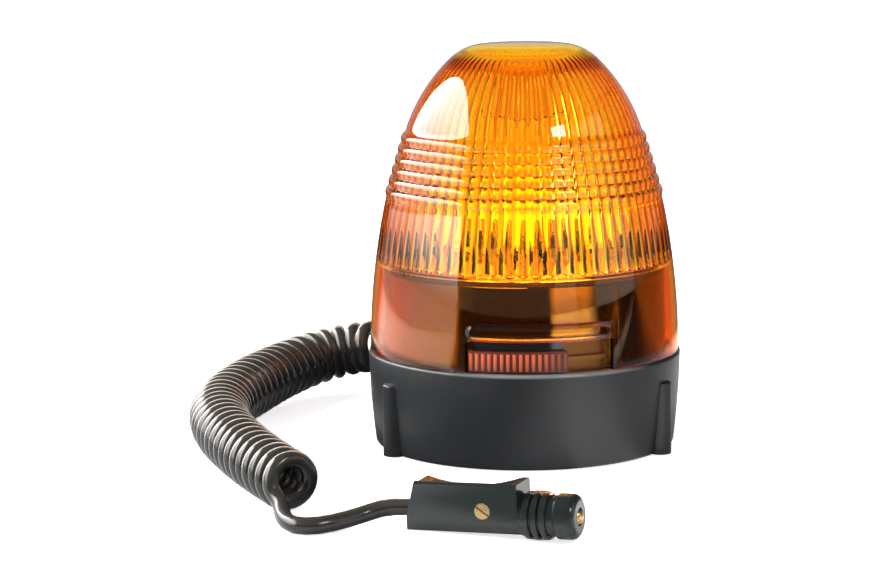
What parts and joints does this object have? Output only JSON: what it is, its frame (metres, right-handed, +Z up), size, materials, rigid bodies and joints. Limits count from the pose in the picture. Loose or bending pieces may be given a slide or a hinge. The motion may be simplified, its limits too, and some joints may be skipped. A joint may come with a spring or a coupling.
{
  "type": "rotating beacon",
  "caption": "Amber rotating warning beacon: fluted lens over a motor-driven reflector and bulb, on a round magnetic foot, with a curly cord and a socket plug.",
  "frame": {"origin": "middle of the foot's underside, on the surface it stands on", "axes": "+Z up along the lens's axis, -Y the front with the lock window, +X to the viewer's right"},
  "size_m": [0.2616, 0.3683, 0.211],
  "materials": {
    "black_plastic": "satin moulded, black",
    "drum_plastic": "polished moulded, black",
    "amber_lens": "clear amber, polished",
    "amber_slide": "moulded, red amber",
    "rubber": "soft black",
    "cord_sheath": "smooth black sheath",
    "ferrite": "sintered, dark grey",
    "steel": "zinc plated",
    "motor_steel": "plated can",
    "gear_plastic": "natural acetal",
    "bronze": "sintered bronze",
    "brass": "turned brass",
    "contact_steel": "nickel plated spring",
    "mirror": "vacuum metallised",
    "holder_plastic": "heat proof moulding",
    "bulb_metal": "pressed nickel",
    "bulb_glass": "clear quartz",
    "tungsten": "drawn wire",
    "plug_plastic": "polished moulded, black"
  },
  "bodies": {
    "base": {"magnet_foot": "black_plastic", "foot_screws": "steel", "rubber_pad": "rubber", "magnet_ring": "ferrite", "pole_plate": "steel", "magnet_bolt": "steel", "magnet_nut": "steel", "drum_housing": "drum_plastic", "lens_seal": "rubber", "motor_body": "motor_steel", "motor_damper": "rubber", "motor_screws": "steel", "bulb_post": "steel", "post_screws": "steel", "thrust_washer": "gear_plastic", "retaining_ring": "steel", "bulb_holder": "holder_plastic", "bulb_base": "bulb_metal", "bulb_contact": "bulb_metal", "bulb_glass": "bulb_glass", "bulb_filament": "tungsten", "bulb_clip": "steel", "cable_gland": "rubber", "cord_lead_in": "cord_sheath", "cord_coil": "cord_sheath", "cord_tail": "cord_sheath", "plug_shell_near": "plug_plastic", "plug_shell_far": "plug_plastic", "plug_screw": "brass", "plug_nose": "plug_plastic"},
    "rotor": {"turntable": "gear_plastic", "bearing_bush": "bronze", "reflector": "mirror", "reflector_screws": "steel"},
    "motor_rotor": {"motor_shaft": "steel", "motor_pinion": "gear_plastic"},
    "lens": {"lens_dome": "amber_lens"},
    "lock": {"lens_lock_slide": "amber_slide"},
    "plug_tip": {"plug_tip_contact": "brass"},
    "contact_upper": {"plug_side_contact_upper": "contact_steel"},
    "contact_lower": {"plug_side_contact_lower": "contact_steel"}
  },
  "joints": [
    {"name": "rotor_spin", "type": "hinge", "parent": "base", "child": "rotor", "pos_m": [0, 0, 0.09], "axis": [0, 0, 1], "continuous": true},
    {"name": "motor_spin", "type": "hinge", "parent": "base", "child": "motor_rotor", "pos_m": [0.02105, 0.03646, 0.085], "axis": [0, 0, 1], "continuous": true},
    {"name": "lens_lift", "type": "slide", "parent": "base", "child": "lens", "axis": [0, 0, 1], "range_m": [0, 0.13]},
    {"name": "lock_slide", "type": "hinge", "parent": "base", "child": "lock", "pos_m": [0, 0, 0.057], "axis": [0, 0, 1], "range_deg": [0, 17]},
    {"name": "plug_tip_press", "type": "slide", "parent": "base", "child": "plug_tip", "axis": [-0.9222, 0.3839, -0.0464], "range_m": [0, 0.0016], "stiffness_N_per_m": 500, "springref_m": -0.002},
    {"name": "contact_upper_press", "type": "slide", "parent": "base", "child": "contact_upper", "axis": [0.0428, -0.0178, -0.9989], "range_m": [0, 0.001], "stiffness_N_per_m": 800, "springref_m": -0.001},
    {"name": "contact_lower_press", "type": "slide", "parent": "base", "child": "contact_lower", "axis": [-0.0428, 0.0178, 0.9989], "range_m": [0, 0.001], "stiffness_N_per_m": 800, "springref_m": -0.001}
  ],
  "couplings": [
    {"joint": "motor_spin", "follows": "rotor_spin", "ratio": -6}
  ]
}
